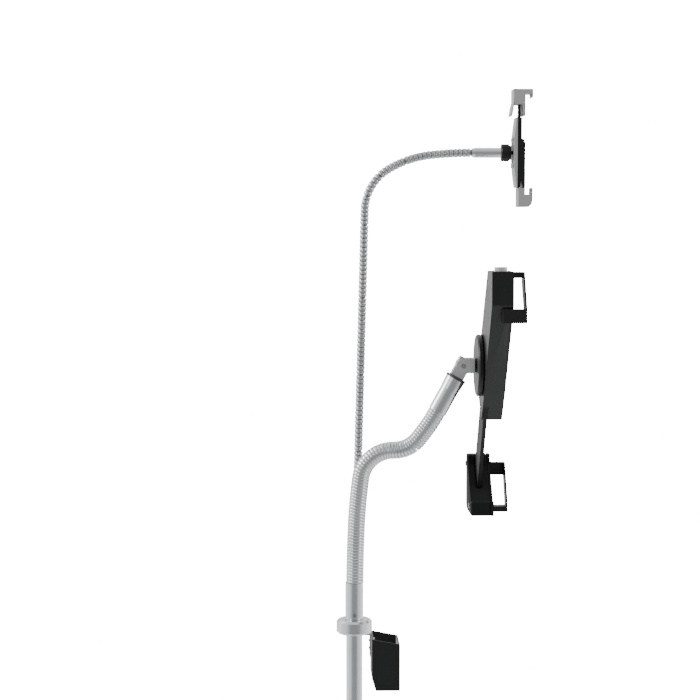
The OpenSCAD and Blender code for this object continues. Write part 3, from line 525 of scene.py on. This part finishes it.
# Nodes with a finish of their own instead of the one of their slot
OWN = {"tilt_fork": "satin", "tilt_tongue": "satin", "slide_bar": "bar_plastic",
       "corner_lock": "pale_plastic", "bottom_bracket": "matt_black", "bottom_cover": "matt_black"}
# Width of the softened edges, in millimetres
SOFT_EDGE = {"housing_back": 2.0, "housing_front": 1.2, "bottom_bracket": 2.0, "bottom_cover": 1.2,
             "top_claw": 1.0, "bottom_claw": 1.0, "upper_jaw": 1.6, "lower_jaw": 1.6,
             "clamp_body": 1.0, "clamp_cover": 1.0, "pocket": 0.8, "tilt_fork": 0.6, "tilt_tongue": 0.6}
# The CAD's triangles are joined within this many metres; edges sharper than this angle are softened
JOIN_WITHIN, EDGE_STEPS, EDGE_ANGLE = 0.00002, 3, math.radians(35)
# Length of the painted shadow on the lip of the upper sleeve, in millimetres
LIP_SHADOW = 2.5

for name, obj in nodes.items():
    obj.data.materials.clear()
    obj.data.materials.append(MATS[OWN.get(name, BY_SLOT[name])])
    if name in SOFT_EDGE:
        weld = obj.modifiers.new("join", "WELD")
        weld.merge_threshold = JOIN_WITHIN
        bevel = obj.modifiers.new("edge", "BEVEL")
        bevel.width = SOFT_EDGE[name] / 1000
        bevel.segments = EDGE_STEPS
        bevel.limit_method = "ANGLE"
        bevel.angle_limit = EDGE_ANGLE
# The photograph's pole doesn't mirror the pocket and its bracket beside it
for name in ("pocket", "pocket_bracket", "pocket_screws"):
    nodes[name].visible_glossy = False


def paint_lip_shadow(name, band):
    """The flared end of the upper sleeve gets a painted shadow: its last faces take a second, near-black
    material.
    """
    mesh = nodes[name].data
    h = math.radians(RIB["course"][-1][1])
    way = Vector((math.sin(h), 0, math.cos(h)))
    reach = max(v.co.dot(way) for v in mesh.vertices)
    mesh.materials.append(MATS["painted_rim_shadow"])
    for face in mesh.polygons:
        if min(mesh.vertices[v].co.dot(way) for v in face.vertices) > reach - band / 1000:
            face.material_index = 1
    return sum(face.material_index for face in mesh.polygons)


print("nodes dressed", len(nodes), "lip faces", paint_lip_shadow("head_sleeve", LIP_SHADOW))

# %% [markdown]
# ## Stage
# A pale floor that fades into white surroundings, and soft lights, as in a product photograph. The
# surroundings are dim in front and bright behind, so polished tubes get a grey middle and light edges.

# %% Floor and lights
# Sides and reach of the floor, and the distances between which it fades, in metres
FLOOR_SIDES, FLOOR_REACH, FADE_FROM, FADE_TO = 64, 2.4, 0.5, 2.2
# Parts of a direction between which the surroundings brighten: towards the rear, the top and the sides
TO_REAR, TO_TOP, TO_SIDE = (-0.35, 0.6), (0.1, 1.0), (0.4, 0.95)


def add_floor():
    """A pale disc that fades into the white surroundings away from the stand."""
    mesh = bpy.data.meshes.new("floor")
    angles = [2 * math.pi * k / FLOOR_SIDES for k in range(FLOOR_SIDES)]
    ring = [(FLOOR_REACH * math.cos(a), FLOOR_REACH * math.sin(a), 0) for a in angles]
    mesh.from_pydata(ring, [], [list(range(FLOOR_SIDES))])
    mat = surface("pale_floor", (0.92, 0.92, 0.92), 0.6, scale=8, strength=0.0, spread=0.02)
    tree = mat.node_tree
    coord = tree.nodes.new("ShaderNodeTexCoord")
    length = tree.nodes.new("ShaderNodeVectorMath")
    length.operation = "LENGTH"
    fade = tree.nodes.new("ShaderNodeMapRange")
    fade.interpolation_type = "SMOOTHSTEP"
    set_range(fade, FADE_FROM, FADE_TO, 1, 0)
    tree.links.new(coord.outputs["Object"], length.inputs[0])
    tree.links.new(length.outputs["Value"], fade.inputs[0])
    tree.links.new(fade.outputs[0], shader_of(tree).inputs["Alpha"])
    mesh.materials.append(mat)
    obj = bpy.data.objects.new("floor", mesh)
    bpy.context.collection.objects.link(obj)


def add_world(white, front, rear, top, side):
    """White to the eye. As a light it is dim in front of the stand, brighter behind, above and beside it."""
    world = bpy.data.worlds.new("studio")
    world.use_nodes = True
    tree = world.node_tree
    tree.nodes.clear()
    new, link = tree.nodes.new, tree.links.new
    out, back = new("ShaderNodeOutputWorld"), new("ShaderNodeBackground")
    coord, part = new("ShaderNodeTexCoord"), new("ShaderNodeSeparateXYZ")
    path = new("ShaderNodeLightPath")
    link(coord.outputs["Generated"], part.inputs[0])
    across = new("ShaderNodeMath")
    across.operation = "ABSOLUTE"
    link(part.outputs[0], across.inputs[0])
    sums, ways = [new("ShaderNodeMath"), new("ShaderNodeMath")], []
    for source, limits, dim, bright in ((part.outputs[1], TO_REAR, front, rear),
                                        (part.outputs[2], TO_TOP, 0, top),
                                        (across.outputs[0], TO_SIDE, 0, side)):
        way = new("ShaderNodeMapRange")
        way.interpolation_type = "SMOOTHSTEP"
        link(source, way.inputs[0])
        set_range(way, *limits, dim, bright)
        ways.append(way.outputs[0])
    link(ways[0], sums[0].inputs[0])
    link(ways[1], sums[0].inputs[1])
    link(sums[0].outputs[0], sums[1].inputs[0])
    link(ways[2], sums[1].inputs[1])
    seen = new("ShaderNodeMix")
    link(path.outputs["Is Camera Ray"], seen.inputs[0])
    link(sums[1].outputs[0], seen.inputs[2])
    seen.inputs[3].default_value = white
    link(seen.outputs[0], back.inputs["Strength"])
    link(back.outputs[0], out.inputs[0])
    bpy.context.scene.world = world


def add_light(name, place, target, size, power):
    """A square lamp at a place, turned to a target; size in metres, power in watts."""
    data = bpy.data.lights.new(name, "AREA")
    data.energy = power
    data.size = size
    obj = bpy.data.objects.new(name, data)
    obj.location = place
    direction = Vector(target) - Vector(place)
    obj.rotation_euler = direction.to_track_quat("-Z", "Y").to_euler()
    bpy.context.collection.objects.link(obj)


add_floor()
add_world(white=24, front=0.5, rear=1.5, top=0.8, side=1.1)
add_light("key", (-2.2, 0.1, 2.4), (0.1, 0, 1.2), 0.9, 34)
add_light("fill", (1.9, -0.9, 1.9), (0.1, 0, 1.2), 0.8, 10)
add_light("strip", (-1.7, -1.5, 1.3), (0.05, 0, 1.15), 0.7, 7)
print("stage ready")
